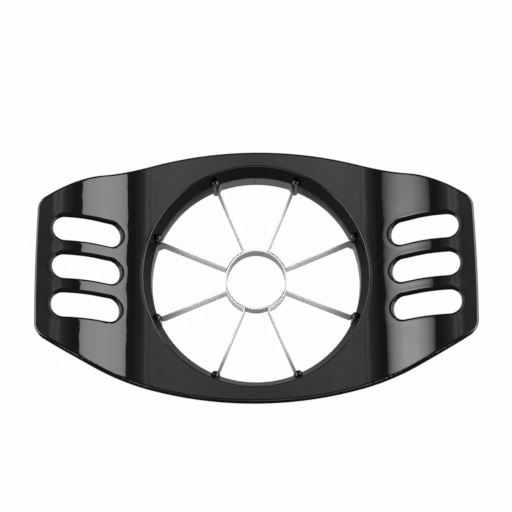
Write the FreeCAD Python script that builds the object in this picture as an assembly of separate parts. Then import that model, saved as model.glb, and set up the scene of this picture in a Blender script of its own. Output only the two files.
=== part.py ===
import FreeCAD, Part
import math
import os

# Apple slicer and corer: a moulded frame with two raised handles round a ring of eight radial blades and a core tube.
# Millimetres. X runs from handle to handle, Z up. The origin is the centre of the ring at the height it stands on.

# ---- driving sizes ----
overall_length = 188.4      # over both handles
overall_width = 112.8       # over the middle of the plate
mid_side_radius = 176.0     # plan curve of the long sides beside the ring
mid_side_reach = 49.7       # X where the plan curve tightens
outer_side_radius = 161.0   # plan curve of the long sides along the handles
end_bulge = 0.5             # the ends are very slightly bowed
corner_radius = 6.8         # plan corners of the handles

plate_thickness = 3.3
edge_depth = 6.2            # turned-down edge, measured across the plate
edge_wall = 2.4
edge_round = 1.3            # rounding of the top edge
rise_start = 45.5           # X where the handles begin to rise
rise_radius = 26.5          # hollow bend at the foot of the rise
crest_radius = 29.3         # bend at the top of the rise
rise_angle = 45.0           # steepest slope in degrees
rise_straight = 4.0         # straight stretch between the two bends

ring_height = 22.0          # from the table to the flat top of the plate
bore_radius = 46.7          # bore below the funnel
mouth_radius = 49.7         # funnel mouth at the top
funnel_depth = 8.0
mouth_round = 0.8
land_radius = 51.1          # flat land round the mouth, cut level where the handles start to rise
skirt_wall = 3.2            # wall of the funnel and of the skirt under it
ledge_depth = 0.7           # straight lip of the bore over the strip recess
flare_height = 4.0          # the bore opens again at its foot
flare_width = 1.0
foot_chamfer = 0.5

slot_count = 3              # finger slots in each handle
slot_pitch = 16.7
slot_width = 10.8
slot_start = 13.35          # from where the handle begins to rise to its slots
slot_margin = 7.6           # from the slots to the handle's end
slot_tilt = 18.0            # the slots lean with the slope
slot_edge = 1.0             # broken edge round each slot

blade_count = 8
strip_thickness = 0.6
strip_height = 9.7
strip_gap = 0.3             # strip top to the ledge above it
strip_play = 0.15           # strip to wall and strip to core tube
edge_bevel_height = 0.9     # ground cutting edge of strips and tube
edge_land = 0.16            # width left at the very edge
arm_offset = 0.25           # the arms lie just beside the pins' radial lines
core_bend = 0.7             # bend radii of the strip, on its middle line
jog_bend = 0.8
wall_bend = 1.0
jog_angle = 45.0
jog_play = 0.15             # strip to pin
seam_gap = 0.2              # between two strips' ends on the wall

core_outer_radius = 13.7
core_wall = 0.7
core_drop = 0.3             # the tube stands this much lower than the strips

pin_circle_radius = 47.3
pin_radius = 1.45
pin_head_radius = 1.9       # ball on top of the pin
pin_neck_radius = 1.2
pin_head_height = 2.0       # middle of the ball above the foot of the funnel
pin_foot_gap = 0.5          # pin foot above the table
pin_groove_play = 0.15
pin_socket_play = 0.15

# ---- derived heights and radii ----
funnel_foot_z = ring_height - funnel_depth
ledge_z = funnel_foot_z - ledge_depth
strip_top_z = ledge_z - strip_gap
strip_foot_z = strip_top_z - strip_height
recess_radius = bore_radius + strip_thickness + strip_play
wall_run_radius = bore_radius + strip_thickness / 2
core_wrap_radius = core_outer_radius + strip_play + strip_thickness / 2
pin_head_z = funnel_foot_z + pin_head_height
sector_angle = 360.0 / blade_count
half_sector = sector_angle / 2
half_length = overall_length / 2
half_width = overall_width / 2
slot_inner_end = rise_start + slot_start
slot_outer_end = half_length - slot_margin
skirt_radius = bore_radius + skirt_wall
up = FreeCAD.Vector(0, 0, 1)
origin = FreeCAD.Vector(0, 0, 0)


def vec(x, y, z=0.0):
    return FreeCAD.Vector(x, y, z)


def polar(radius, degrees, z=0.0):
    angle = math.radians(degrees)
    return vec(radius * math.cos(angle), radius * math.sin(angle), z)


def arc_about(centre, radius, start, end):
    """Arc in the plane Z = centre.z from one angle to another, in degrees."""
    points = [centre + polar(radius, start + (end - start) * share) for share in (0, 0.5, 1)]
    return Part.Arc(*points).toShape()


def line(start, end):
    return Part.LineSegment(start, end).toShape()


def revolved(points, start=0.0, sweep=360.0):
    """Solid of revolution about Z from (radius, z) points."""
    face = Part.Face(Part.makePolygon([vec(r, 0, z) for r, z in points + points[:1]]))
    solid = face.revolve(origin, up, sweep)
    solid.rotate(origin, up, start)
    return solid


# ---- the plate: its side view is one wave, its plan view one outline ----
def wave_edges(depth):
    """Right half of the wave line, a given depth under the top face, from X = 0 outwards."""
    slope = math.radians(rise_angle)
    foot_centre = vec(rise_start, 0, ring_height + rise_radius)
    foot_radius = rise_radius + depth
    crest = crest_radius - depth
    foot_end = foot_centre + vec(foot_radius * math.sin(slope), 0, -foot_radius * math.cos(slope))
    crest_start = foot_end + vec(rise_straight * math.cos(slope), 0, rise_straight * math.sin(slope))
    crest_centre = crest_start + vec(crest * math.sin(slope), 0, -crest * math.cos(slope))
    half = slope / 2
    foot_mid = foot_centre + vec(foot_radius * math.sin(half), 0, -foot_radius * math.cos(half))
    crest_mid = crest_centre + vec(-crest * math.sin(half), 0, crest * math.cos(half))
    crest_top = crest_centre + vec(0, 0, crest)
    beyond = vec(crest_top.x + half_length, 0, crest_top.z)
    foot_start = vec(rise_start, 0, ring_height - depth)
    return [
        line(vec(0, 0, ring_height - depth), foot_start),
        Part.Arc(foot_start, foot_mid, foot_end).toShape(),
        line(foot_end, crest_start),
        Part.Arc(crest_start, crest_mid, crest_top).toShape(),
        line(crest_top, beyond),
    ]


def wave_slab(depth, top_depth=0.0):
    """The plate's wave as a slab of the given depth, wide enough for the whole plan."""
    top = wave_edges(top_depth)
    bottom = wave_edges(depth)
    outer_end = line(top[-1].Vertexes[-1].Point, bottom[-1].Vertexes[-1].Point)
    inner_end = line(top[0].Vertexes[0].Point, bottom[0].Vertexes[0].Point)
    face = Part.Face(Part.Wire(Part.__sortEdges__(top + bottom + [outer_end, inner_end])))
    right = face.extrude(vec(0, overall_width, 0))
    right.translate(vec(0, -half_width, 0))
    left = right.copy()
    left.rotate(origin, up, 180)
    return right.fuse(left).removeSplitter()


def plan_prism(inset=0.0):
    """The outline in plan, moved inwards by an inset, as an upright prism."""
    mid_radius = mid_side_radius - inset
    outer_radius = outer_side_radius - inset
    mid_centre = vec(0, half_width - mid_side_radius)
    turn = math.degrees(math.asin(mid_side_reach / mid_side_radius))
    outer_centre = mid_centre + polar(mid_side_radius - outer_side_radius, 90 - turn)
    end_y = half_width / 2
    end_x = half_length - end_bulge - inset
    reach = end_x - outer_centre.x
    end_turn = math.degrees(math.acos(reach / outer_radius))
    corner = outer_centre + polar(outer_radius, end_turn)
    middle = arc_about(mid_centre, mid_radius, 90 + turn, 90 - turn)
    side = arc_about(outer_centre, outer_radius, 90 - turn, end_turn)
    other_side = side.mirror(origin, vec(1, 0, 0))
    tip = vec(end_x + end_bulge, 0)
    end = Part.Arc(corner, tip, vec(corner.x, -corner.y)).toShape()
    halves = [middle, side, other_side]
    edges = halves + [edge.mirror(origin, vec(0, 1, 0)) for edge in halves]
    edges += [end, end.mirror(origin, vec(1, 0, 0))]
    outline = Part.Face(Part.Wire(Part.__sortEdges__(edges)))
    prism = outline.extrude(vec(0, 0, 3 * ring_height))
    corners = [
        edge for edge in prism.Edges
        if abs(abs(edge.CenterOfMass.x) - corner.x) < 0.01 and edge.BoundBox.XLength < 0.01
    ]
    return prism.makeFillet(corner_radius - inset, corners)


def finger_slot(x_sign, y):
    """Cutter for one finger slot: a long hole with round ends that leans with the slope."""
    half = slot_width / 2
    height = 3 * ring_height
    lean = math.tan(math.radians(slot_tilt))
    inner = slot_inner_end + lean * wave_height(slot_inner_end) + half
    outer = slot_outer_end + lean * wave_height(slot_outer_end) - half
    top = line(vec(inner, y + half), vec(outer, y + half))
    bottom = line(vec(inner, y - half), vec(outer, y - half))
    outer_round = Part.Arc(vec(outer, y + half), vec(outer + half, y), vec(outer, y - half)).toShape()
    inner_round = Part.Arc(vec(inner, y + half), vec(inner - half, y), vec(inner, y - half)).toShape()
    face = Part.Face(Part.Wire(Part.__sortEdges__([top, outer_round, bottom, inner_round])))
    cutter = face.extrude(vec(-lean * height, 0, height))
    if x_sign < 0:
        cutter.rotate(origin, up, 180)
    return cutter


def wave_height(x):
    """Height of the plate's top face at a distance from the middle."""
    slope = math.radians(rise_angle)
    foot_end = rise_start + rise_radius * math.sin(slope)
    foot_top = ring_height + rise_radius * (1 - math.cos(slope))
    straight_end = foot_end + rise_straight * math.cos(slope)
    crest_x = straight_end + crest_radius * math.sin(slope)
    crest_z = foot_top + rise_straight * math.sin(slope) + crest_radius * (1 - math.cos(slope))
    if x <= rise_start:
        return ring_height
    if x <= foot_end:
        return ring_height + rise_radius - math.sqrt(rise_radius ** 2 - (x - rise_start) ** 2)
    if x <= straight_end:
        return foot_top + (x - foot_end) * math.tan(slope)
    if x <= crest_x:
        return crest_z - crest_radius + math.sqrt(crest_radius ** 2 - (crest_x - x) ** 2)
    return crest_z


def slot_rows():
    first = -slot_pitch * (slot_count - 1) / 2
    return [first + slot_pitch * row for row in range(slot_count)]


def build_frame():
    plan = plan_prism()
    plate = wave_slab(plate_thickness).common(plan)
    edge_ring = plan.cut(plan_prism(edge_wall))
    turned_edge = wave_slab(edge_depth).common(edge_ring)
    body = plate.fuse(turned_edge)
    inside_plate = ring_height - plate_thickness / 2
    skirt = revolved([
        (0, 0), (skirt_radius - foot_chamfer, 0), (skirt_radius, foot_chamfer),
        (skirt_radius, funnel_foot_z), (mouth_radius + skirt_wall, inside_plate), (0, inside_plate),
    ])
    body = body.fuse(skirt).removeSplitter()
    rims = top_rim_edges(body)
    body = body.makeFillet(edge_round, rims)
    for side in (1, -1):
        for y in slot_rows():
            body = body.cut(finger_slot(side, y))
    body = body.makeChamfer(slot_edge, slot_rims(body))
    return cut_bore(body)


def top_rim_edges(body):
    """Edges of the plate's top face along the outline."""
    found = []
    for edge in body.Edges:
        middle = edge.valueAt((edge.FirstParameter + edge.LastParameter) / 2)
        on_top = abs(middle.z - wave_height(abs(middle.x))) < 0.02
        if on_top and math.hypot(middle.x, middle.y) > land_radius and not inside_outline(middle):
            found.append(edge)
    return found


def inside_outline(point):
    inner = plan_prism(edge_wall / 2)
    return inner.isInside(vec(point.x, point.y, ring_height), 0.001, True)


def slot_rims(body):
    """Top edges of the finger slots."""
    found = []
    for edge in body.Edges:
        middle = edge.valueAt((edge.FirstParameter + edge.LastParameter) / 2)
        on_top = abs(middle.z - wave_height(abs(middle.x))) < 0.02
        in_row = min(abs(middle.y - y) for y in slot_rows()) < slot_width / 2 + 0.1
        inner_limit = slot_inner_end - slot_width / 2
        outer_limit = slot_outer_end + edge_wall
        if on_top and in_row and inner_limit < abs(middle.x) < outer_limit:
            found.append(edge)
    return found


def cut_bore(body):
    """Funnel mouth, bore, flared foot, strip recesses, pin grooves and sockets for the pin heads."""
    slope = math.atan2(mouth_radius - bore_radius, funnel_depth)
    lip = mouth_round * math.tan((math.pi / 2 - slope) / 2)
    lip_out = mouth_radius + lip
    lip_low = (mouth_radius - lip * math.sin(slope), ring_height - lip * math.cos(slope))
    lip_centre = vec(lip_out, 0, ring_height - mouth_round)
    lip_top = vec(lip_out, 0, ring_height)
    lip_end = vec(lip_low[0], 0, lip_low[1])
    half = (math.pi / 2 - slope) / 2
    lip_mid = lip_centre + vec(-mouth_round * math.sin(half), 0, mouth_round * math.cos(half))
    above = 2 * ring_height
    outline = [
        line(vec(0, 0, above), vec(land_radius, 0, above)),
        line(vec(land_radius, 0, above), vec(land_radius, 0, ring_height)),
        line(vec(land_radius, 0, ring_height), lip_top),
        Part.Arc(lip_top, lip_mid, lip_end).toShape(),
        line(lip_end, vec(bore_radius, 0, funnel_foot_z)),
        line(vec(bore_radius, 0, funnel_foot_z), vec(bore_radius, 0, flare_height)),
        line(vec(bore_radius, 0, flare_height), vec(bore_radius + flare_width, 0, 0)),
        line(vec(bore_radius + flare_width, 0, 0), vec(0, 0, 0)),
        line(vec(0, 0, 0), vec(0, 0, above)),
    ]
    body = body.cut(Part.Face(Part.Wire(outline)).revolve(origin, up, 360))
    groove_radius = pin_radius + pin_groove_play
    socket_radius = pin_head_radius + pin_socket_play
    recess = [(bore_radius - 1, 0), (recess_radius, 0), (recess_radius, ledge_z), (bore_radius - 1, ledge_z)]
    for index in range(blade_count):
        axis = polar(pin_circle_radius, half_sector + index * sector_angle)
        body = body.cut(Part.makeCylinder(groove_radius, ring_height, axis))
        body = body.cut(Part.makeSphere(socket_radius, axis + vec(0, 0, pin_head_z)))
        if index % 2 == 0:
            body = body.cut(revolved(recess, index * sector_angle - half_sector, sector_angle))
    return body


# ---- blades: four strips bent round the core tube, past two pins each and along the wall ----
def strip_path():
    """Middle line of one strip in plan, as edges from wall to wall, about the direction of half a sector."""
    pin_angle = half_sector
    # along the arm u runs outwards and v towards the wall run
    def place(u, v):
        return polar(u, pin_angle) + polar(v, pin_angle - 90)

    bend_v = arm_offset - core_bend
    bend_u = math.sqrt((core_wrap_radius + core_bend) ** 2 - bend_v ** 2)
    leave_angle = math.degrees(math.atan2(-bend_v, bend_u)) + pin_angle
    wrap = arc_about(origin, core_wrap_radius, sector_angle, leave_angle)
    foot_bend_centre = place(bend_u, bend_v)
    foot_bend = arc_about(foot_bend_centre, core_bend, leave_angle + 180, pin_angle + 270)

    turn = math.radians(jog_angle)
    clearance = pin_radius + jog_play + strip_thickness / 2
    jog_u = pin_circle_radius - (clearance - arm_offset * math.cos(turn)) / math.sin(turn)
    tangent = jog_bend * math.tan(turn / 2)
    arm = line(place(bend_u, arm_offset), place(jog_u - tangent, arm_offset))
    jog_centre = place(jog_u - tangent, arm_offset + jog_bend)
    jog = arc_about(jog_centre, jog_bend, pin_angle + 90, pin_angle + 90 - jog_angle)

    leave_u = jog_u + tangent * math.cos(turn)
    leave_v = arm_offset + tangent * math.sin(turn)
    centre_u = leave_u - wall_bend * math.sin(turn)
    centre_v = leave_v + wall_bend * math.cos(turn)
    along = centre_u * math.cos(turn) + centre_v * math.sin(turn)
    inner = wall_run_radius - wall_bend
    run = -along + math.sqrt(along ** 2 - centre_u ** 2 - centre_v ** 2 + inner ** 2)
    end_u = leave_u + run * math.cos(turn)
    end_v = leave_v + run * math.sin(turn)
    diagonal = line(place(leave_u, leave_v), place(end_u, end_v))
    wall_u = centre_u + run * math.cos(turn)
    wall_v = centre_v + run * math.sin(turn)
    wall_angle = pin_angle - math.degrees(math.atan2(wall_v, wall_u))
    wall_turn = arc_about(place(wall_u, wall_v), wall_bend, pin_angle + 90 - jog_angle, wall_angle)
    seam_angle = math.degrees(seam_gap / 2 / wall_run_radius)
    wall_run = arc_about(origin, wall_run_radius, wall_angle, seam_angle)
    half = [wrap, foot_bend, arm, jog, diagonal, wall_turn, wall_run]
    mirror_normal = polar(1, sector_angle + 90)
    other = [edge.mirror(origin, mirror_normal) for edge in half]
    return Part.Wire(Part.__sortEdges__(half + other))


def blade_section(middle, across):
    """Section of the strip at a point of its middle line: flat sides and a ground upper edge."""
    half = strip_thickness / 2
    land = edge_land / 2
    shoulder = strip_top_z - edge_bevel_height
    sides = [
        (-half, strip_foot_z), (half, strip_foot_z), (half, shoulder),
        (land, strip_top_z), (-land, strip_top_z), (-half, shoulder),
    ]
    points = [middle + across * offset + vec(0, 0, z) for offset, z in sides]
    return Part.makePolygon(points + points[:1])


def build_strip():
    path = strip_path()
    start = path.OrderedVertexes[0].Point
    across = vec(start.x, start.y)
    across.normalize()
    section = blade_section(vec(start.x, start.y), across)
    return path.makePipeShell([section], True, False)


def build_core():
    inner = core_outer_radius - core_wall
    top = strip_top_z - core_drop
    foot = strip_foot_z - core_drop
    land = core_outer_radius - core_wall / 2
    return revolved([
        (inner, foot), (core_outer_radius, foot), (core_outer_radius, top - edge_bevel_height),
        (land + edge_land / 2, top), (land - edge_land / 2, top), (inner, top - edge_bevel_height),
    ])


def build_pin():
    """A turned pin whose ball head stands on a narrow neck."""
    neck_drop = math.sqrt(pin_head_radius ** 2 - pin_neck_radius ** 2)
    neck_z = pin_head_z - neck_drop
    shoulder_z = neck_z - (pin_radius - pin_neck_radius)
    outline = [
        line(vec(0, 0, pin_foot_gap), vec(pin_radius, 0, pin_foot_gap)),
        line(vec(pin_radius, 0, pin_foot_gap), vec(pin_radius, 0, shoulder_z)),
        line(vec(pin_radius, 0, shoulder_z), vec(pin_neck_radius, 0, neck_z)),
        Part.Arc(
            vec(pin_neck_radius, 0, neck_z), vec(pin_head_radius, 0, pin_head_z),
            vec(0, 0, pin_head_z + pin_head_radius)).toShape(),
        line(vec(0, 0, pin_head_z + pin_head_radius), vec(0, 0, pin_foot_gap)),
    ]
    return Part.Face(Part.Wire(outline)).revolve(origin, up, 360)


def save(shape, name):
    shape.exportStep("parts/" + name + ".step")
    print(name, len(shape.Solids), round(shape.Volume, 1), shape.isValid())


os.makedirs("parts", exist_ok=True)
save(build_frame(), "frame")
save(build_core(), "core_ring")
strip = build_strip()
for index in range(blade_count // 2):
    turned = strip.copy()
    turned.rotate(origin, up, 2 * sector_angle * index)
    save(turned, "blade_strip_" + str(index + 1))
pin = build_pin()
for index in range(blade_count):
    placed = pin.copy()
    placed.translate(polar(pin_circle_radius, half_sector + index * sector_angle))
    save(placed, "blade_pin_" + str(index + 1))
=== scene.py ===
# %% [markdown]
# # An apple slicer and corer
# A slicer like this is one glossy black ABS moulding that carries a ring of thin stainless blades round a
# core tube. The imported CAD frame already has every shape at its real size, so this lesson is about finish:
# how a mirror-like moulding, rolled steel strip and ground cutting edges look, how a faceted CAD mesh is
# made to shade as the smooth surface that it stands for, and how a studio is lit so that a black gloss
# shows its form.

# %% Load the frame
import math

import bmesh
import bpy
from mathutils import Matrix, Vector


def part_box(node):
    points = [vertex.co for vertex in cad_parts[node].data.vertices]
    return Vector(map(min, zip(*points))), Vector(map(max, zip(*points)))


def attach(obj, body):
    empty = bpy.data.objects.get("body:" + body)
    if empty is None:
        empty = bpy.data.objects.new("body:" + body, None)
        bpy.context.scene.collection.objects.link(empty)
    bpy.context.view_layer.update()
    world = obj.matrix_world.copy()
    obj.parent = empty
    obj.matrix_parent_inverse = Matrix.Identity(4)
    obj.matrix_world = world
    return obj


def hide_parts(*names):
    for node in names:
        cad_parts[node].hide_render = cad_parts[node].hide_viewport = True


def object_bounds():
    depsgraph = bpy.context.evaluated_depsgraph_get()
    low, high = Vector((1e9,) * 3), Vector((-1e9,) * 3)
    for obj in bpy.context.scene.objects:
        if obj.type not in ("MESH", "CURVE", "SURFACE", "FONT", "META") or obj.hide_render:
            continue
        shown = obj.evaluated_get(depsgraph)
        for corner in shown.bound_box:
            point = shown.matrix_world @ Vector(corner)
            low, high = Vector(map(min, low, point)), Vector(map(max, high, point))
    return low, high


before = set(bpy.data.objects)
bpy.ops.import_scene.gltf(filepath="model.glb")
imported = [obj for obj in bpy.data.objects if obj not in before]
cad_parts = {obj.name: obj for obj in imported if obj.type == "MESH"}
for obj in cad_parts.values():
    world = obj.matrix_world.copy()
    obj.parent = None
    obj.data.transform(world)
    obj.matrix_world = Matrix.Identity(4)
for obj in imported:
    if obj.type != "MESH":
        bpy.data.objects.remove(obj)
cad_box = [[float(v) for v in corner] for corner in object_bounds()]
MM = 0.001
print("nodes:", sorted(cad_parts))
print("CAD box in mm:", [[round(v / MM, 2) for v in corner] for corner in cad_box])

# %% [markdown]
# ## Sizes
# Where the strips begin and end and how high the core tube reaches is asked of the frame. What a box can't
# tell is the line of the plate seen from the side. It is flat over the ring, turns up in a hollow bend,
# runs straight for a few millimetres and rolls over a crest into the flat end of the handle, so it is
# written here again.

# %% Heights, radii and the wave of the plate
half_length = cad_box[1][0]
foot_z = cad_box[0][2]
strip_low, strip_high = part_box("blade_strip_1")
strip_foot_z, strip_top_z = strip_low[2], strip_high[2]
core_top_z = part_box("core_ring")[1][2]
plate_z = 22.0 * MM
rise_start = 45.5 * MM
rise_radius = 26.5 * MM
crest_radius = 29.3 * MM
rise_angle = math.radians(45.0)
rise_straight = 4.0 * MM
print("blades stand from %.1f to %.1f mm" % (strip_foot_z / MM, strip_top_z / MM))


def wave(distance, depth=0.0):
    """Height and slope of the plate's top face, or of one a depth under it, at a distance from the middle."""
    foot = rise_radius + depth
    crest = crest_radius - depth
    foot_end = rise_start + foot * math.sin(rise_angle)
    straight_end = foot_end + rise_straight * math.cos(rise_angle)
    crest_x = straight_end + crest * math.sin(rise_angle)
    foot_centre_z = plate_z + rise_radius
    foot_end_z = foot_centre_z - foot * math.cos(rise_angle)
    crest_centre_z = foot_end_z + rise_straight * math.sin(rise_angle) - crest * math.cos(rise_angle)
    if distance <= rise_start:
        return plate_z - depth, 0.0
    if distance <= foot_end:
        slope = math.asin((distance - rise_start) / foot)
        return foot_centre_z - foot * math.cos(slope), slope
    if distance <= straight_end:
        return foot_end_z + (distance - foot_end) * math.tan(rise_angle), rise_angle
    if distance < crest_x:
        slope = math.asin((crest_x - distance) / crest)
        return crest_centre_z + crest * math.cos(slope), slope
    return crest_centre_z + crest, 0.0


print("the handle's end stands %.1f mm high" % (wave(half_length)[0] / MM))


# %% [markdown]
# ## Colours and nodes
# Colours are written as sRGB hex values, the way a resin or paint chart gives them, and one function turns
# them into the linear values that a renderer mixes. A second small function adds a node with its settings
# and its links in one go, and it serves shader trees and geometry trees alike.

# %% Colour and node helpers
def srgb(hex_code):
    """Linear RGBA from an sRGB hex code."""
    channels = [int(hex_code[i:i + 2], 16) / 255 for i in (1, 3, 5)]
    linear = [c / 12.92 if c <= 0.04045 else ((c + 0.055) / 1.055) ** 2.4 for c in channels]
    return (*linear, 1.0)


def node(tree, kind, inputs=None, **settings):
    """Adds a node, sets its properties, and sets or links its inputs by name or number.

    A node that is given as an input is linked by its first output."""
    made = tree.nodes.new(kind)
    for name, value in settings.items():
        setattr(made, name, value)
    for key, value in (inputs or {}).items():
        if isinstance(value, bpy.types.Node):
            value = value.outputs[0]
        if isinstance(value, bpy.types.NodeSocket):
            tree.links.new(value, made.inputs[key])
        else:
            made.inputs[key].default_value = value
    return made


def new_material(name):
    """A material with an empty node tree."""
    material = bpy.data.materials.new(name)
    material.use_nodes = True
    material.node_tree.nodes.clear()
    return material, material.node_tree


print("white is", [round(channel, 3) for channel in srgb("#ffffff")])

# %% [markdown]
# ## The camera
# The slicer is seen from high above one long side. The lens is long, so the far and near sides differ
# little in size. The camera is placed by its distance, its height angle and the point it looks at, and then
# turned onto that point.

# %% Camera
camera_distance = 616.0 * MM
camera_height_angle = math.radians(75.5)
camera_turn = math.radians(0.44)
sensor_width = 36.0
image_pixels = 512
pixels_per_radian = 1400.0
aim_y = 8.1 * MM
look_at = Vector((0.0, aim_y, plate_z))
camera_data = bpy.data.cameras.new("studio_camera")
camera_data.sensor_width = sensor_width
camera_data.lens = sensor_width * pixels_per_radian / image_pixels
camera = bpy.data.objects.new("studio_camera", camera_data)
bpy.context.scene.collection.objects.link(camera)
back = Vector((0.0, -math.cos(camera_height_angle), math.sin(camera_height_angle)))
back = Matrix.Rotation(-camera_turn, 3, "Z") @ back
camera.location = look_at + back * camera_distance
camera.rotation_euler = back.to_track_quat("Z", "Y").to_euler()
bpy.context.scene.camera = camera
bpy.context.scene.view_settings.view_transform = "Standard"
print("lens %.1f mm" % camera_data.lens)

# %% [markdown]
# ## Smooth copies of the CAD parts
# A CAD part arrives as loose flat triangles. On a matt part nobody would see them, but a gloss moulding is
# a mirror, and a mirror made of flats breaks every reflection into bands. So each part gets a copy whose
# triangles share their corners. Edges that really are edges stay sharp, and everywhere else the normals are
# averaged, weighted by the size of the faces, so that a large flat face stays flat right up to the small
# rounding beside it.

# %% Copy, merge and smooth
merge_distance = 0.0005 * MM
moulding_sharp_degrees = 38.0
part_sharp_degrees = 25.0


def merged_copy(node_name, piece_name, sharp_degrees):
    """A copy of a CAD node with shared corners, sharp edges kept and normals weighted by face area."""
    bm = bmesh.new()
    bm.from_mesh(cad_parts[node_name].data)
    bmesh.ops.remove_doubles(bm, verts=bm.verts, dist=merge_distance)
    for face in bm.faces:
        face.smooth = True
    limit = math.radians(sharp_degrees)
    for edge in bm.edges:
        edge.smooth = edge.is_manifold and edge.calc_face_angle(0.0) < limit
    mesh = bpy.data.meshes.new(piece_name)
    bm.to_mesh(mesh)
    bm.free()
    piece = bpy.data.objects.new(piece_name, mesh)
    bpy.context.scene.collection.objects.link(piece)
    weighting = piece.modifiers.new("face_weights", "WEIGHTED_NORMAL")
    weighting.mode = "FACE_AREA"
    weighting.keep_sharp = True
    apply_modifiers(piece)
    return piece


def apply_modifiers(piece):
    """Turns the piece with its modifiers into a plain mesh."""
    depsgraph = bpy.context.evaluated_depsgraph_get()
    plain = bpy.data.meshes.new_from_object(piece.evaluated_get(depsgraph))
    piece.modifiers.clear()
    piece.data = plain
    plain.name = piece.name


def dress(piece, node_name, slot_name, *materials):
    """Lets a piece stand for a CAD node on the root body, with the given materials; slot_name is not used."""
    piece.data.materials.clear()
    for material in materials:
        piece.data.materials.append(material)
    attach(piece, "root")
    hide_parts(node_name)
    print(piece.name, len(piece.data.polygons), "triangles")


print("edges are sharp from %.0f and %.0f degrees" % (moulding_sharp_degrees, part_sharp_degrees))

# %% [markdown]
# ## The frame's normals
# Averaging is good enough for small roundings, but the plate's two bends carry the broad reflections that
# give the handles their shape. There the true normal is known: it is square to the wave. Every face whose
# corners all lie on the wave, or on one of its parallels at the plate's underside and at the foot of the
# turned-down edge, takes its normals from the formula instead of from its neighbours. The same goes for the
# round lip and the cone of the mouth.
#
# The broken edge round each finger slot is a flat bevel in the CAD part. A mould maker would round it, and
# shading can do that without a new triangle: the bevel's upper corners take the plate's normal, its lower
# corners take the slot wall's normal, and between the two the reflection turns as it does over a real
# rounding.

# %% The plate's parallels, the mouth and the slots
plate_depths = (0.0, 3.3 * MM, 6.2 * MM)
mouth_radius = 49.7 * MM
bore_radius = 46.7 * MM
funnel_depth = 8.0 * MM
lip_radius = 0.8 * MM
funnel_lean = math.atan2(mouth_radius - bore_radius, funnel_depth)
lip_reach = mouth_radius + lip_radius * math.tan((math.pi / 2 - funnel_lean) / 2)
slot_zone = (Vector((56.0, 0.0)) * MM, Vector((90.0, 24.5)) * MM)
tolerance = 0.02 * MM
past_lip = 0.001 * MM
upright_below = 0.45
upward_above = 0.2
bevel_turn = (0.5, 0.95)
print("the mouth leans %.1f degrees" % math.degrees(funnel_lean))


# %% Normals that a formula gives
def wave_normal(co, depth=0.0):
    """Upward normal of the wave under a point."""
    slope = wave(abs(co.x), depth)[1]
    return Vector((-math.copysign(math.sin(slope), co.x), 0.0, math.cos(slope)))


def on_wave(co, depth=0.0):
    """Whether a point lies on the wave, or on its parallel at a depth."""
    return abs(co.z - wave(abs(co.x), depth)[0]) < tolerance


def mouth_normal(co):
    """Normal of the mouth's lip or cone at a point, or None for a point on neither."""
    out = Vector((co.x, co.y, 0.0)).normalized()
    reach = math.hypot(co.x, co.y)
    from_lip = (reach - lip_reach, co.z - (plate_z - lip_radius))
    if from_lip[0] < past_lip and from_lip[1] > 0 and abs(math.hypot(*from_lip) - lip_radius) < tolerance:
        return (out * from_lip[0] + Vector((0, 0, from_lip[1]))).normalized()
    rise = co.z - (plate_z - funnel_depth)
    if 0 <= rise + tolerance and abs(reach - bore_radius - rise * math.tan(funnel_lean)) < tolerance:
        return -out * math.cos(funnel_lean) + Vector((0, 0, math.sin(funnel_lean)))
    return None


cone_foot = Vector((bore_radius, 0.0, plate_z - funnel_depth))
print("normal at the cone's foot:", [round(v, 3) for v in mouth_normal(cone_foot)])


# %% The moulded frame
def exact_normals(mesh):
    """Sets known normals on the wave, in the mouth and on the bevels of the slots, and counts the faces."""
    normals = [Vector(corner.vector) for corner in mesh.corner_normals]
    counts = {"wave": 0, "mouth": 0, "bevel": 0}
    low, high = slot_zone
    in_zone = [low.x < abs(v.co.x) < high.x and abs(v.co.y) < high.y for v in mesh.vertices]
    wall_normals = {}
    for polygon in mesh.polygons:
        if abs(polygon.normal.z) < upright_below and all(in_zone[index] for index in polygon.vertices):
            for index in polygon.vertices:
                wall_normals[index] = wall_normals.get(index, Vector()) + polygon.normal * polygon.area
    for polygon in mesh.polygons:
        corners = [mesh.vertices[index].co for index in polygon.vertices]
        upward = polygon.normal.z > upward_above
        at_slots = all(in_zone[index] for index in polygon.vertices)
        fresh = None
        for depth in plate_depths:
            if all(on_wave(co, depth) for co in corners):
                facing = 1.0 if polygon.normal.z > 0 else -1.0
                fresh = [facing * wave_normal(co, depth) for co in corners]
                counts["wave"] += 1
                break
        if fresh is None and upward:
            mouth = [mouth_normal(co) for co in corners]
            if all(mouth):
                fresh = mouth
                counts["mouth"] += 1
        if fresh is None and upward and at_slots:
            if bevel_turn[0] < polygon.normal.dot(wave_normal(polygon.center)) < bevel_turn[1]:
                fresh = []
                for index, co in zip(polygon.vertices, corners):
                    upper = on_wave(co) or index not in wall_normals
                    fresh.append(wave_normal(co) if upper else wall_normals[index].normalized())
                counts["bevel"] += 1
        if fresh:
            for loop, normal in zip(polygon.loop_indices, fresh):
                normals[loop] = normal
    mesh.normals_split_custom_set(normals)
    return counts


moulding = merged_copy("frame", "moulded_frame", moulding_sharp_degrees)
print("faces with known normals:", exact_normals(moulding.data))

# %% [markdown]
# ## Gloss black ABS
# The frame is injection-moulded ABS. The mould's cavity is polished, so the skin comes out like a black
# mirror: nearly no diffuse colour, a clear reflection of about four percent face on, and more at a glance.
# What tells moulded gloss from glass is its waviness. The resin shrinks unevenly as it cools, most near
# openings, and straight reflections come back with soft ripples. Two noises of 9 mm and 3 mm give those
# ripples, and a third one varies the roughness as handling does. Close to a finger slot the ripples grow,
# the skin swells a little, and the last 1.6 mm roll over into the opening. All three depend on how far a
# point is from the nearest slot's rim. That distance could be painted on by hand, but a slot is a straight
# line with a round brush drawn along it, so sixteen plain math nodes give it exactly.

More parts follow.
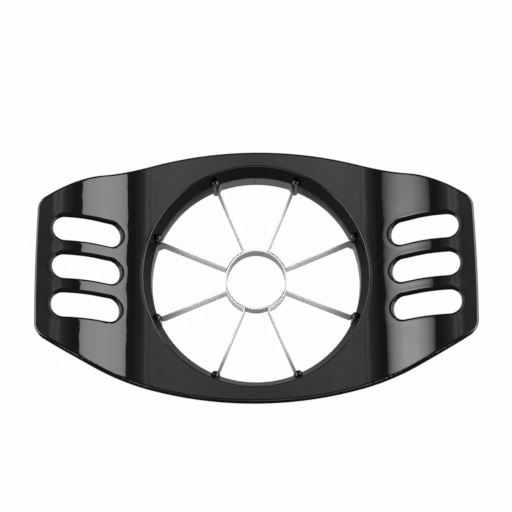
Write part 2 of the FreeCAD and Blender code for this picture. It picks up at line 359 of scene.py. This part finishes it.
# %% Distance from the nearest finger slot
slot_pitch = 16.7 * MM
slot_half_width = 5.4 * MM
slot_inner_x = 58.9 * MM
slot_outer_x = 86.6 * MM


def slot_distance(tree, place):
    """Distance in plan from the rim of the nearest finger slot."""
    middle = (slot_inner_x + slot_outer_x) / 2
    half_run = (slot_outer_x - slot_inner_x) / 2 - slot_half_width
    split = node(tree, "ShaderNodeSeparateXYZ", {"Vector": place}).outputs
    outward = node(tree, "ShaderNodeMath", {0: split["X"]}, operation="ABSOLUTE")
    offset = node(tree, "ShaderNodeMath", {0: outward, 1: middle}, operation="SUBTRACT")
    from_middle = node(tree, "ShaderNodeMath", {0: offset}, operation="ABSOLUTE")
    past_run = node(tree, "ShaderNodeMath", {0: from_middle, 1: half_run}, operation="SUBTRACT")
    along = node(tree, "ShaderNodeMath", {0: past_run, 1: 0.0}, operation="MAXIMUM")
    pitches = node(tree, "ShaderNodeMath", {0: split["Y"], 1: slot_pitch}, operation="DIVIDE")
    row = node(tree, "ShaderNodeMath", {0: pitches}, operation="ROUND")
    not_past_back = node(tree, "ShaderNodeMath", {0: row, 1: 1.0}, operation="MINIMUM")
    nearest_row = node(tree, "ShaderNodeMath", {0: not_past_back, 1: -1.0}, operation="MAXIMUM")
    row_y = node(tree, "ShaderNodeMath", {0: nearest_row, 1: slot_pitch}, operation="MULTIPLY")
    across = node(tree, "ShaderNodeMath", {0: split["Y"], 1: row_y}, operation="SUBTRACT")
    along_squared = node(tree, "ShaderNodeMath", {0: along, 1: along}, operation="MULTIPLY")
    across_squared = node(tree, "ShaderNodeMath", {0: across, 1: across}, operation="MULTIPLY")
    squared = node(tree, "ShaderNodeMath", {0: along_squared, 1: across_squared}, operation="ADD")
    distance = node(tree, "ShaderNodeMath", {0: squared}, operation="SQRT")
    return node(tree, "ShaderNodeMath", {0: distance, 1: slot_half_width}, operation="SUBTRACT")


print("slots reach from %.1f to %.1f mm off the middle" % (slot_inner_x / MM, slot_outer_x / MM))

# %% Moulded gloss ABS
gloss_black = "#0b0b0c"
abs_ior = 1.52
ripple_length = 9.0 * MM
ripple_height = 0.08 * MM
slot_ripple_height = 0.16 * MM
slot_ripple_reach = (3.0 * MM, 14.0 * MM)
fine_ripple_length = 3.2 * MM
fine_ripple_height = 0.014 * MM
smudge_length = 14.0 * MM
smudge_span = (0.35, 0.75)
polish_roughness = (0.035, 0.085)
sink_reach = 3.6 * MM
sink_depth = 0.09 * MM
rim_reach = 1.6 * MM
rim_drop = 0.22 * MM
gloss_abs, tree = new_material("injection_moulded_gloss_black_abs")
place = node(tree, "ShaderNodeTexCoord").outputs["Object"]
rim = slot_distance(tree, place)
ripples = node(tree, "ShaderNodeTexNoise", {"Vector": place, "Scale": 1 / ripple_length, "Detail": 1.0})
fine_ripples = node(tree, "ShaderNodeTexNoise", {
    "Vector": place, "Scale": 1 / fine_ripple_length, "Detail": 1.0})
smudges = node(tree, "ShaderNodeTexNoise", {"Vector": place, "Scale": 1 / smudge_length, "Detail": 6.0})
sink = node(tree, "ShaderNodeMapRange", {
    "Value": rim, "From Min": 0.0, "From Max": sink_reach, "To Min": sink_depth, "To Max": 0.0},
    interpolation_type="SMOOTHERSTEP")
rounding = node(tree, "ShaderNodeMapRange", {
    "Value": rim, "From Min": 0.0, "From Max": rim_reach, "To Min": -rim_drop, "To Max": 0.0},
    interpolation_type="SMOOTHSTEP")
waviness = node(tree, "ShaderNodeMapRange", {
    "Value": rim, "From Min": slot_ripple_reach[0], "From Max": slot_ripple_reach[1],
    "To Min": slot_ripple_height, "To Max": ripple_height})
polish = node(tree, "ShaderNodeMapRange", {
    "Value": smudges, "From Min": smudge_span[0], "From Max": smudge_span[1],
    "To Min": polish_roughness[0], "To Max": polish_roughness[1]})
bent = node(tree, "ShaderNodeMath", {0: sink, 1: rounding}, operation="ADD")
swelling = node(tree, "ShaderNodeMath", {0: ripples, 1: waviness, 2: bent}, operation="MULTIPLY_ADD")
swell = node(tree, "ShaderNodeBump", {"Height": swelling, "Strength": 1.0, "Distance": 1.0})
skin = node(tree, "ShaderNodeBump", {
    "Height": fine_ripples, "Strength": 1.0, "Distance": fine_ripple_height, "Normal": swell})
shader = node(tree, "ShaderNodeBsdfPrincipled", {
    "Base Color": srgb(gloss_black), "IOR": abs_ior, "Roughness": polish, "Normal": skin})
node(tree, "ShaderNodeOutputMaterial", {"Surface": shader})
print("the skin ripples every %.0f and every %.1f mm" % (ripple_length / MM, fine_ripple_length / MM))

# %% [markdown]
# ## The satin underside
# The half of the mould that shapes the underside isn't polished. It is left as spark erosion leaves it,
# with a fine even grain, because a satin core lets go of the part more easily and nobody looks at it. The
# same resin therefore looks greyer and softer from below. Grain this fine would take a million triangles or
# more, so one noise stands for it twice: as a shallow bump, and as a roughness that is a little different
# from grain to grain. Nearly all values of such a noise lie between 0.3 and 0.7, so that span is led over
# to the roughness.

# %% Spark-eroded satin ABS
satin_black = "#0e0e0f"
erosion_grain = 0.35 * MM
erosion_depth = 0.02 * MM
erosion_strength = 0.6
noise_span = (0.3, 0.7)
satin_roughness = (0.3, 0.42)
satin_abs, tree = new_material("spark_eroded_satin_black_abs")
place = node(tree, "ShaderNodeTexCoord").outputs["Object"]
grain = node(tree, "ShaderNodeTexNoise", {"Vector": place, "Scale": 1 / erosion_grain, "Detail": 3.0})
relief = node(tree, "ShaderNodeBump", {
    "Height": grain, "Strength": erosion_strength, "Distance": erosion_depth})
softness = node(tree, "ShaderNodeMapRange", {
    "Value": grain, "From Min": noise_span[0], "From Max": noise_span[1],
    "To Min": satin_roughness[0], "To Max": satin_roughness[1]})
shader = node(tree, "ShaderNodeBsdfPrincipled", {
    "Base Color": srgb(satin_black), "IOR": abs_ior, "Roughness": softness, "Normal": relief})
node(tree, "ShaderNodeOutputMaterial", {"Surface": shader})
print("grain of %.2f mm" % (erosion_grain / MM))

# %% [markdown]
# ## The drawn walls
# The walls of the finger slots slide along steel when the mould opens, so they are polished only in that
# direction, and the two long edges, where the halves of the mould meet, are scraped clean of flash
# afterwards. Both leave fine upright scratches that break the mirror up, so no picture of the bright table
# comes back from them and they are the blackest part of the slicer. The specular level is therefore taken
# to nothing here, and the resin's own dark grey is left. The mouth and the bore slide along steel too, but
# theirs is a finer polish. Such a wall looks dull from straight in front and still mirrors at a glance, so
# it keeps a small specular level, which fades the first and leaves the second.
#
# Which finish a face gets is decided by where it looks and where it is: down is satin, the mouth and the
# bore under its lip are finely drawn, a slot's wall or a long edge with its rounding is drawn, and the rest
# is gloss.

# %% Draw-polished ABS
wall_black = "#141415"
draw_line = 0.6 * MM
draw_run = 6.0 * MM
draw_depth = 0.01 * MM
line_strength = 0.5
wall_roughness = (0.3, 0.4)
wall_specular = 0.0
bore_roughness = (0.12, 0.22)
bore_specular = 0.06


def drawn_abs(name, hex_code, specular_level, roughness):
    """Black ABS with fine upright scratches, which leave it more or less of its mirror."""
    material, tree = new_material(name)
    place = node(tree, "ShaderNodeTexCoord").outputs["Object"]
    drawn = node(tree, "ShaderNodeMapping", {
        "Vector": place, "Scale": (1 / draw_line, 1 / draw_line, 1 / draw_run)})
    lines = node(tree, "ShaderNodeTexNoise", {"Vector": drawn, "Scale": 1.0, "Detail": 2.0})
    softness = node(tree, "ShaderNodeMapRange", {
        "Value": lines, "From Min": noise_span[0], "From Max": noise_span[1],
        "To Min": roughness[0], "To Max": roughness[1]})
    relief = node(tree, "ShaderNodeBump", {
        "Height": lines, "Strength": line_strength, "Distance": draw_depth})
    shader = node(tree, "ShaderNodeBsdfPrincipled", {
        "Base Color": srgb(hex_code), "IOR": abs_ior, "Specular IOR Level": specular_level,
        "Roughness": softness, "Normal": relief})
    node(tree, "ShaderNodeOutputMaterial", {"Surface": shader})
    return material


wall_abs = drawn_abs("draw_polished_black_abs", wall_black, wall_specular, wall_roughness)
bore_abs = drawn_abs("draw_polished_black_abs_of_the_bore", gloss_black, bore_specular, bore_roughness)
print(wall_abs.name, "and", bore_abs.name)

# %% Put the four finishes on the moulding
GLOSS, SATIN, DRAWN, BORE = range(4)
down_below = -0.3
wall_below = 0.25
scraped_below = 0.8
sideways_above = 0.55
lip_above = 0.5
ring_edge = mouth_radius + 1.5 * MM


def finish_of(polygon):
    """Which of the four finishes a face of the moulding has."""
    normal, centre = polygon.normal, polygon.center
    if normal.z < down_below:
        return SATIN
    if math.hypot(centre.x, centre.y) < ring_edge:
        return GLOSS if normal.z >= lip_above else BORE
    in_slots = slot_zone[0].x < abs(centre.x) < slot_zone[1].x and abs(centre.y) < slot_zone[1].y
    slot_wall = in_slots and normal.z < wall_below
    long_edge = abs(normal.y) > sideways_above and normal.z < scraped_below
    return DRAWN if slot_wall or long_edge else GLOSS


dress(moulding, "frame", "black_abs", gloss_abs, satin_abs, wall_abs, bore_abs)
counts = [0, 0, 0, 0]
for polygon in moulding.data.polygons:
    polygon.material_index = finish_of(polygon)
    counts[polygon.material_index] += 1
print("gloss, satin, drawn and bore faces:", counts)

# %% [markdown]
# ## Ejector marks
# When the mould opens, the shrunken part grips the core and is pushed off it by round steel pins. Each
# leaves a flat, slightly proud disc on the underside. They are the same small thing again and again, so
# Geometry Nodes sets them out: a grid of points, a ray from every point up to the plate, and a disc placed
# where the ray lands and turned to the surface it meets. The tree takes the moulding as a named input, so
# the discs find the underside by themselves. It runs three times, for two lines of marks under each handle
# and for the plate's corners beside the ring, and because all of them belong to one body the results are
# joined into one plain mesh.

# %% The tree of the ejector marks
disc_sides = 32


def ejector_tree():
    """Points on a grid, cast up onto a target, each with a disc turned to the face that it meets."""
    tree = bpy.data.node_groups.new("ejector_marks", "GeometryNodeTree")
    interface = tree.interface
    interface.new_socket("Geometry", in_out="OUTPUT", socket_type="NodeSocketGeometry")
    interface.new_socket("Target", in_out="INPUT", socket_type="NodeSocketObject")
    interface.new_socket("Material", in_out="INPUT", socket_type="NodeSocketMaterial")
    for label in ("Reach", "Span", "Radius", "Proud", "Depth"):
        interface.new_socket(label, in_out="INPUT", socket_type="NodeSocketFloat")
    interface.new_socket("Rows", in_out="INPUT", socket_type="NodeSocketInt")
    source = node(tree, "NodeGroupInput").outputs
    across = node(tree, "ShaderNodeMath", {0: source["Reach"], 1: 2.0}, operation="MULTIPLY")
    grid = node(tree, "GeometryNodeMeshGrid", {
        "Size X": across, "Size Y": source["Span"], "Vertices X": 2, "Vertices Y": source["Rows"]})
    target = node(tree, "GeometryNodeObjectInfo", {"Object": source["Target"]}, transform_space="RELATIVE")
    ray = node(tree, "GeometryNodeRaycast", {
        "Target Geometry": target.outputs["Geometry"], "Ray Direction": (0.0, 0.0, 1.0),
        "Ray Length": 1.0}).outputs
    half_depth = node(tree, "ShaderNodeMath", {0: source["Depth"], 1: 0.5}, operation="MULTIPLY")
    shift = node(tree, "ShaderNodeMath", {0: source["Proud"], 1: half_depth}, operation="SUBTRACT")
    offset = node(tree, "ShaderNodeVectorMath", {0: ray["Hit Normal"], "Scale": shift}, operation="SCALE")
    landed = node(tree, "ShaderNodeVectorMath", {0: ray["Hit Position"], 1: offset}, operation="ADD")
    turn = node(tree, "FunctionNodeAlignRotationToVector", {"Vector": ray["Hit Normal"]}, axis="Z")
    kept_turn = node(tree, "GeometryNodeCaptureAttribute", {"Geometry": grid})
    kept_turn.capture_items.new("ROTATION", "Turn")
    tree.links.new(turn.outputs[0], kept_turn.inputs["Turn"])
    moved = node(tree, "GeometryNodeSetPosition", {
        "Geometry": kept_turn, "Selection": ray["Is Hit"], "Position": landed})
    points = node(tree, "GeometryNodeMeshToPoints", {"Mesh": moved})
    disc = node(tree, "GeometryNodeMeshCylinder", {
        "Vertices": disc_sides, "Radius": source["Radius"], "Depth": source["Depth"]})
    placed = node(tree, "GeometryNodeInstanceOnPoints", {
        "Points": points, "Instance": disc, "Rotation": kept_turn.outputs["Turn"]})
    real = node(tree, "GeometryNodeRealizeInstances", {"Geometry": placed})
    made = node(tree, "GeometryNodeSetMaterial", {"Geometry": real, "Material": source["Material"]})
    node(tree, "NodeGroupOutput", {"Geometry": made})
    return tree


marks_tree = ejector_tree()
print("the tree has %d nodes" % len(marks_tree.nodes))

# %% Set out the ejector marks
mark_radius = 1.9 * MM
mark_proud = 0.08 * MM
mark_depth = 0.3 * MM
slot_rows_span = 3 * slot_pitch
corner_span = 72.0 * MM
mark_groups = ((68.0 * MM, 4, slot_rows_span), (82.0 * MM, 4, slot_rows_span), (44.0 * MM, 2, corner_span))


def ejector_marks(tree, name, **values):
    """One plain mesh of marks, from the tree with its named inputs set."""
    piece = bpy.data.objects.new(name, bpy.data.meshes.new(name))
    bpy.context.scene.collection.objects.link(piece)
    modifier = piece.modifiers.new("marks", "NODES")
    modifier.node_group = tree
    sockets = {item.name: item.identifier for item in tree.interface.items_tree if item.in_out == "INPUT"}
    for label, value in values.items():
        modifier[sockets[label]] = value
    apply_modifiers(piece)
    return piece


bm = bmesh.new()
for reach, rows, span in mark_groups:
    group = ejector_marks(
        marks_tree, "marks_at_%.0f_mm" % (reach / MM), Target=moulding, Material=gloss_abs, Reach=reach,
        Span=span, Rows=rows, Radius=mark_radius, Proud=mark_proud, Depth=mark_depth)
    bm.from_mesh(group.data)
    print(group.name, len(group.data.polygons), "faces")
    bpy.data.objects.remove(group)
all_marks = bpy.data.meshes.new("ejector_marks")
bm.to_mesh(all_marks)
bm.free()
all_marks.materials.append(gloss_abs)
marks = bpy.data.objects.new("ejector_marks", all_marks)
bpy.context.scene.collection.objects.link(marks)
heights = [v.co.z / MM for v in all_marks.vertices]
print("ejector marks from %.2f to %.2f mm" % (min(heights), max(heights)))
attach(marks, "root")

# %% [markdown]
# ## Rolled steel strip
# The blades are cut from bright-rolled stainless strip. The rollers leave very fine lines along the strip,
# so its reflections are drawn out upwards and downwards. The lines follow the strip round every bend, and
# because each strip stands upright, noise that changes fast with height and slowly along the plan does just
# that, without a UV map. Real rolling lines are a few hundredths of a millimetre apart, too fine to show,
# so they are drawn half a millimetre apart. The cutting edge is ground on both sides after rolling. The
# wheel crosses the strip, so its marks run up and down and change fast along the plan. A mask by height
# lays the ground marks over the top millimetre. Away from the wall the same band is also coloured white
# with almost no metal: a painted highlight along the edge.
#
# A strip that has been washed and scrubbed is no longer a plain mirror: its hair-fine scratches scatter
# light to all sides, and a single narrow reflection can't show that. Metallic below one lets part of the
# light scatter as from a dull surface. A second mask, by the distance from the middle, leads from this
# duller steel on the arms and the tube to mirror-bright steel on the runs along the wall behind the pins,
# and there it turns the colour to a darker grey: painted shade, for the dark reflection by the wall. The
# tube is drawn through a die instead of rolled, and its skin is duller and darker than the strip's, up to
# its own ground edge with its painted highlight.

# %% Lines, masks and tones of the steel
roll_line = 0.5 * MM
roll_run = 14.0 * MM
grind_line = 0.5 * MM
grind_run = 2.5 * MM
bevel_height = 0.9 * MM
grind_blend = 0.06 * MM
line_depth = 0.003 * MM
steel_roughness = (0.2, 0.32)
scratch_scatter = 0.8
streak_span = (0.35, 0.65)
# Painted shade: between these two distances from the middle the steel's colour turns to the darker grey
# below.
unshaded_within = 30.0 * MM
shaded_beyond = 45.5 * MM
bright_metallic = 0.92
# Painted highlight: the ground band away from the wall gets this little metal and a plain white colour.
painted_highlight_metallic = 0.1
# Painted shade: the darker grey of the runs along the wall behind the pins.
painted_shade_grey = "#666669"
painted_highlight_white = "#ffffff"
# The painted shade on the steel grows from the first distance to the second.
print("scrubbed within %.0f mm, bright beyond %.1f mm" % (unshaded_within / MM, shaded_beyond / MM))


# %% Rolled and ground stainless
def stainless(name, edge_z, middle_metallic, tones):
    """Stainless, duller towards the middle and with painted shade at the wall, whose last millimetre under
    a height is ground and, away from the wall, painted white as a highlight.
    """
    material, tree = new_material(name)
    place = node(tree, "ShaderNodeTexCoord").outputs["Object"]
    along = node(tree, "ShaderNodeMapping", {
        "Vector": place, "Scale": (1 / roll_run, 1 / roll_run, 1 / roll_line)})
    upright = node(tree, "ShaderNodeMapping", {
        "Vector": place, "Scale": (1 / grind_line, 1 / grind_line, 1 / grind_run)})
    rolled = node(tree, "ShaderNodeTexNoise", {"Vector": along, "Scale": 1.0, "Detail": 2.0})
    ground = node(tree, "ShaderNodeTexNoise", {"Vector": upright, "Scale": 1.0, "Detail": 2.0})
    height = node(tree, "ShaderNodeSeparateXYZ", {"Vector": place}).outputs["Z"]
    bevel_z = edge_z - bevel_height
    edge = node(tree, "ShaderNodeMapRange", {
        "Value": height, "From Min": bevel_z - grind_blend, "From Max": bevel_z})
    lines = node(tree, "ShaderNodeMix", {0: edge, 2: rolled, 3: ground}, data_type="FLOAT")
    softness = node(tree, "ShaderNodeMapRange", {
        "Value": lines, "From Min": noise_span[0], "From Max": noise_span[1],
        "To Min": steel_roughness[0], "To Max": steel_roughness[1]})
    relief = node(tree, "ShaderNodeBump", {
        "Height": lines, "Strength": line_strength, "Distance": line_depth})
    plan = node(tree, "ShaderNodeVectorMath", {0: place, 1: (1.0, 1.0, 0.0)}, operation="MULTIPLY")
    reach = node(tree, "ShaderNodeVectorMath", {0: plan}, operation="LENGTH").outputs["Value"]
    # Painted shade: this mask is 1 in the middle and 0 at the wall, where the colour turns darker grey.
    unshaded_middle = node(tree, "ShaderNodeMapRange", {
        "Value": reach, "From Min": unshaded_within, "From Max": shaded_beyond, "To Min": 1.0, "To Max": 0.0},
        interpolation_type="SMOOTHSTEP")
    # Painted highlight: the ground band, away from the wall, is coloured white with little metal.
    painted_highlight_band = node(tree, "ShaderNodeMath", {0: edge, 1: unshaded_middle}, operation="MULTIPLY")
    metallic = node(tree, "ShaderNodeMix", {
        0: unshaded_middle, 2: bright_metallic, 3: middle_metallic}, data_type="FLOAT")
    mirror = node(tree, "ShaderNodeMix", {0: painted_highlight_band, 2: metallic, 3: painted_highlight_metallic}, data_type="FLOAT")
    streaks = node(tree, "ShaderNodeMapRange", {
        "Value": rolled, "From Min": streak_span[0], "From Max": streak_span[1]})
    brushed = node(tree, "ShaderNodeMix", {
        0: streaks, 6: srgb(tones[0]), 7: srgb(tones[1])}, data_type="RGBA").outputs[2]
    # Painted shade: towards the wall the brushed tones give way to the darker grey.
    skin_with_painted_shade = node(tree, "ShaderNodeMix", {
        0: unshaded_middle, 6: srgb(painted_shade_grey), 7: brushed}, data_type="RGBA").outputs[2]
    tone = node(tree, "ShaderNodeMix", {
        0: painted_highlight_band, 6: skin_with_painted_shade, 7: srgb(painted_highlight_white)}, data_type="RGBA").outputs[2]
    shader = node(tree, "ShaderNodeBsdfPrincipled", {
        "Base Color": tone, "Metallic": mirror, "Roughness": softness, "Diffuse Roughness": scratch_scatter,
        "Normal": relief})
    node(tree, "ShaderNodeOutputMaterial", {"Surface": shader})
    return material


rolled_tones = ("#e0e0e2", "#f6f6f7")
drawn_tones = ("#9a9a9d", "#b4b4b7")
strip_metallic = 0.5
tube_metallic = 0.8
strip_steel = stainless("bright_rolled_stainless_strip", strip_top_z, strip_metallic, rolled_tones)
tube_steel = stainless("drawn_stainless_tube", core_top_z, tube_metallic, drawn_tones)
print(strip_steel.name, "and", tube_steel.name)

# %% Dress the strips and the tube
blade_count = 8
for index in range(1, blade_count // 2 + 1):
    strip = merged_copy("blade_strip_%d" % index, "bent_strip_%d" % index, part_sharp_degrees)
    dress(strip, "blade_strip_%d" % index, "blade_steel", strip_steel)
tube = merged_copy("core_ring", "core_tube", part_sharp_degrees)
dress(tube, "core_ring", "blade_steel", tube_steel)

# %% [markdown]
# ## The pins
# Eight black nylon pins stand in grooves of the bore wall. Each strip bends round a pin on its way from the
# arm to the wall, so the pins keep the blades tight. Nylon is a little softer in its gloss than ABS, and a
# turned or moulded head keeps a fine orange-peel skin. The ball heads are the CAD part's own, and the peel
# is a noise of just under a millimetre in the bump and the roughness, because it is far too shallow to
# change the outline.

# %% Moulded nylon pins
nylon_black = "#0c0c0d"
peel_length = 0.9 * MM
peel_depth = 0.01 * MM
peel_strength = 0.5
nylon_ior = 1.53
nylon_roughness = (0.12, 0.2)
nylon, tree = new_material("moulded_black_nylon")
place = node(tree, "ShaderNodeTexCoord").outputs["Object"]
peel = node(tree, "ShaderNodeTexNoise", {"Vector": place, "Scale": 1 / peel_length, "Detail": 2.0})
relief = node(tree, "ShaderNodeBump", {"Height": peel, "Strength": peel_strength, "Distance": peel_depth})
softness = node(tree, "ShaderNodeMapRange", {
    "Value": peel, "From Min": noise_span[0], "From Max": noise_span[1],
    "To Min": nylon_roughness[0], "To Max": nylon_roughness[1]})
shader = node(tree, "ShaderNodeBsdfPrincipled", {
    "Base Color": srgb(nylon_black), "IOR": nylon_ior, "Roughness": softness, "Normal": relief})
node(tree, "ShaderNodeOutputMaterial", {"Surface": shader})
for index in range(1, blade_count + 1):
    pin = merged_copy("blade_pin_%d" % index, "nylon_pin_%d" % index, part_sharp_degrees)
    dress(pin, "blade_pin_%d" % index, "pin_plastic", nylon)

# %% [markdown]
# ## The floor
# The slicer lies on pale paper. Paper that is only lit never quite reaches white, so a share of what the
# camera sees is a plain white glow, and the rest is the lit paper with the slicer's soft shadow. Rays that
# come by way of a mirror or through something clear get a smaller share of the same glow. It is enough for
# steel to show pale paper, and with more of it the black walls inside the ring would turn grey.

# %% Paper floor
floor_size = 6.0
floor_gap = 0.05 * MM
paper_grey = "#a8a8a8"
camera_share = 0.98
mirror_share = 0.35
bpy.ops.mesh.primitive_plane_add(size=floor_size, location=(0, 0, foot_z - floor_gap))
floor = bpy.context.object
floor.name = "paper_floor"
paper_white, tree = new_material("matt_pale_paper")
paper = node(tree, "ShaderNodeBsdfDiffuse", {"Color": srgb(paper_grey)})
glow = node(tree, "ShaderNodeEmission", {"Color": (1, 1, 1, 1), "Strength": 1.0})
path = node(tree, "ShaderNodeLightPath").outputs
bounced = node(tree, "ShaderNodeMath", {
    0: path["Is Glossy Ray"], 1: path["Is Transmission Ray"]}, operation="MAXIMUM")
mirrored = node(tree, "ShaderNodeMath", {0: bounced, 1: mirror_share}, operation="MULTIPLY")
seen = node(tree, "ShaderNodeMath", {
    0: path["Is Camera Ray"], 1: camera_share, 2: mirrored}, operation="MULTIPLY_ADD")
mix = node(tree, "ShaderNodeMixShader", {0: seen, 1: paper, 2: glow})
node(tree, "ShaderNodeOutputMaterial", {"Surface": mix})
floor.data.materials.append(paper_white)
print("the floor lies at %.2f mm" % (floor.location.z / MM))

# %% [markdown]
# ## The lights
# Black gloss has no light of its own to give back: what the eye reads as its shape is the picture of the
# lamps in it. Two soft boxes stand low at either end, down to the table, and each is mirrored in the slope
# of the handle across from it as one bright stripe. A weaker panel overhead is mirrored in everything that
# lies flat. Between them the room is dark, and that gap draws the black line where the plate turns up. A
# fourth, narrow strip lies low on the camera's side. Hardly any gloss surface faces it, but it reaches
# through the ring and lights the steel. The room itself is dim for the slicer and its reflections, and
# plain white where the camera looks past the paper.
#
# A lamp that is equally bright all over gives stripes that look cut out, so each box and the panel have a
# ramp across them: one box is softer along its top edge, the other fades from its middle upwards, and the
# overhead panel is brightest along its two tubes. A second, shorter ramp along the lamp dims one end of it.

# %% A soft box with a ramp across it
even = ((0.0, 1.0), (1.0, 1.0))


def softbox(name, tilt, distance, size_x, size_y, shift_y, radiance, ramp, depth_ramp=even, turn=0.0):
    """A rectangular area light that faces the ring.

    It hangs at a distance and at a tilt from the vertical, towards +X or -X, and is then turned about the
    vertical. Angles are in degrees and lengths in metres. A ramp is a row of places and shares of the light:
    any number of them across the lamp, and two along it."""
    data = bpy.data.lights.new(name, "AREA")
    data.shape = "RECTANGLE"
    data.size = size_x
    data.size_y = size_y
    data.energy = radiance * math.pi * size_x * size_y
    data.use_nodes = True
    tree = data.node_tree
    tree.nodes.clear()
    parametric = node(tree, "ShaderNodeNewGeometry").outputs["Parametric"]
    split = node(tree, "ShaderNodeSeparateXYZ", {"Vector": parametric}).outputs
    shares = node(tree, "ShaderNodeValToRGB", {"Fac": split["X"]})
    stops = shares.color_ramp.elements
    while len(stops) < len(ramp):
        stops.new(0.5)
    for stop, (at, share) in zip(stops, ramp):
        stop.position = at
        stop.color = (share, share, share, 1)
    (near_place, near_share), (far_place, far_share) = depth_ramp
    depth = node(tree, "ShaderNodeMapRange", {
        "Value": split["Y"], "From Min": near_place, "From Max": far_place, "To Min": near_share,
        "To Max": far_share})
    glow = node(tree, "ShaderNodeEmission", {"Color": shares, "Strength": depth})
    node(tree, "ShaderNodeOutputLight", {"Surface": glow})
    lamp = bpy.data.objects.new(name, data)
    bpy.context.scene.collection.objects.link(lamp)
    angle = math.radians(tilt)
    spin = math.radians(turn)
    place = Vector((distance * math.sin(angle), shift_y, distance * math.cos(angle)))
    lamp.location = Matrix.Rotation(spin, 3, "Z") @ place
    lamp.rotation_euler = (0, angle, spin)


# %% Hang the lamps
soft_top = ((0.0, 0.66), (0.12, 0.85), (0.3, 0.95), (1.0, 0.93))
fading = ((0.0, 1.0), (0.3, 1.0), (0.65, 0.72), (0.85, 0.42), (1.0, 0.1))
tube_side = (
    (0.0, 0.58), (0.05, 0.75), (0.09, 0.88), (0.12, 0.64), (0.16, 0.38), (0.22, 0.23), (0.34, 0.12),
    (0.5, 0.05))
two_tubes = [(0.5 - at, share) for at, share in reversed(tube_side[1:])]
two_tubes += [(0.5 + at, share) for at, share in tube_side]
softbox(
    "right_softbox", tilt=66.0, distance=1.0, size_x=0.92, size_y=1.7, shift_y=0.15, radiance=5.3,
    ramp=soft_top)
softbox(
    "left_softbox", tilt=-64.5, distance=1.0, size_x=0.96, size_y=1.7, shift_y=0.15, radiance=5.2,
    ramp=fading, depth_ramp=((0.5, 1.16), (0.66, 0.62)))
softbox(
    "overhead_panel", tilt=0.0, distance=1.6, size_x=1.6, size_y=1.2, shift_y=0.75, radiance=1.5,
    ramp=two_tubes, depth_ramp=((0.0, 0.6), (0.4, 1.0)))
softbox(
    "front_strip", tilt=72.0, distance=1.0, size_x=0.3, size_y=1.2, shift_y=0.0, radiance=3.5, ramp=even,
    turn=-90.0)

# %% The room
room_light = 0.1
room = bpy.data.worlds.new("dim_studio_room")
bpy.context.scene.world = room
room.use_nodes = True
tree = room.node_tree
seen = node(tree, "ShaderNodeLightPath").outputs["Is Camera Ray"]
brightness = node(tree, "ShaderNodeMapRange", {"Value": seen, "To Min": room_light, "To Max": 1.0})
background = tree.nodes["Background"]
background.inputs["Color"].default_value = (1, 1, 1, 1)
tree.links.new(brightness.outputs[0], background.inputs["Strength"])
print("the room's light is %.1f" % room_light)
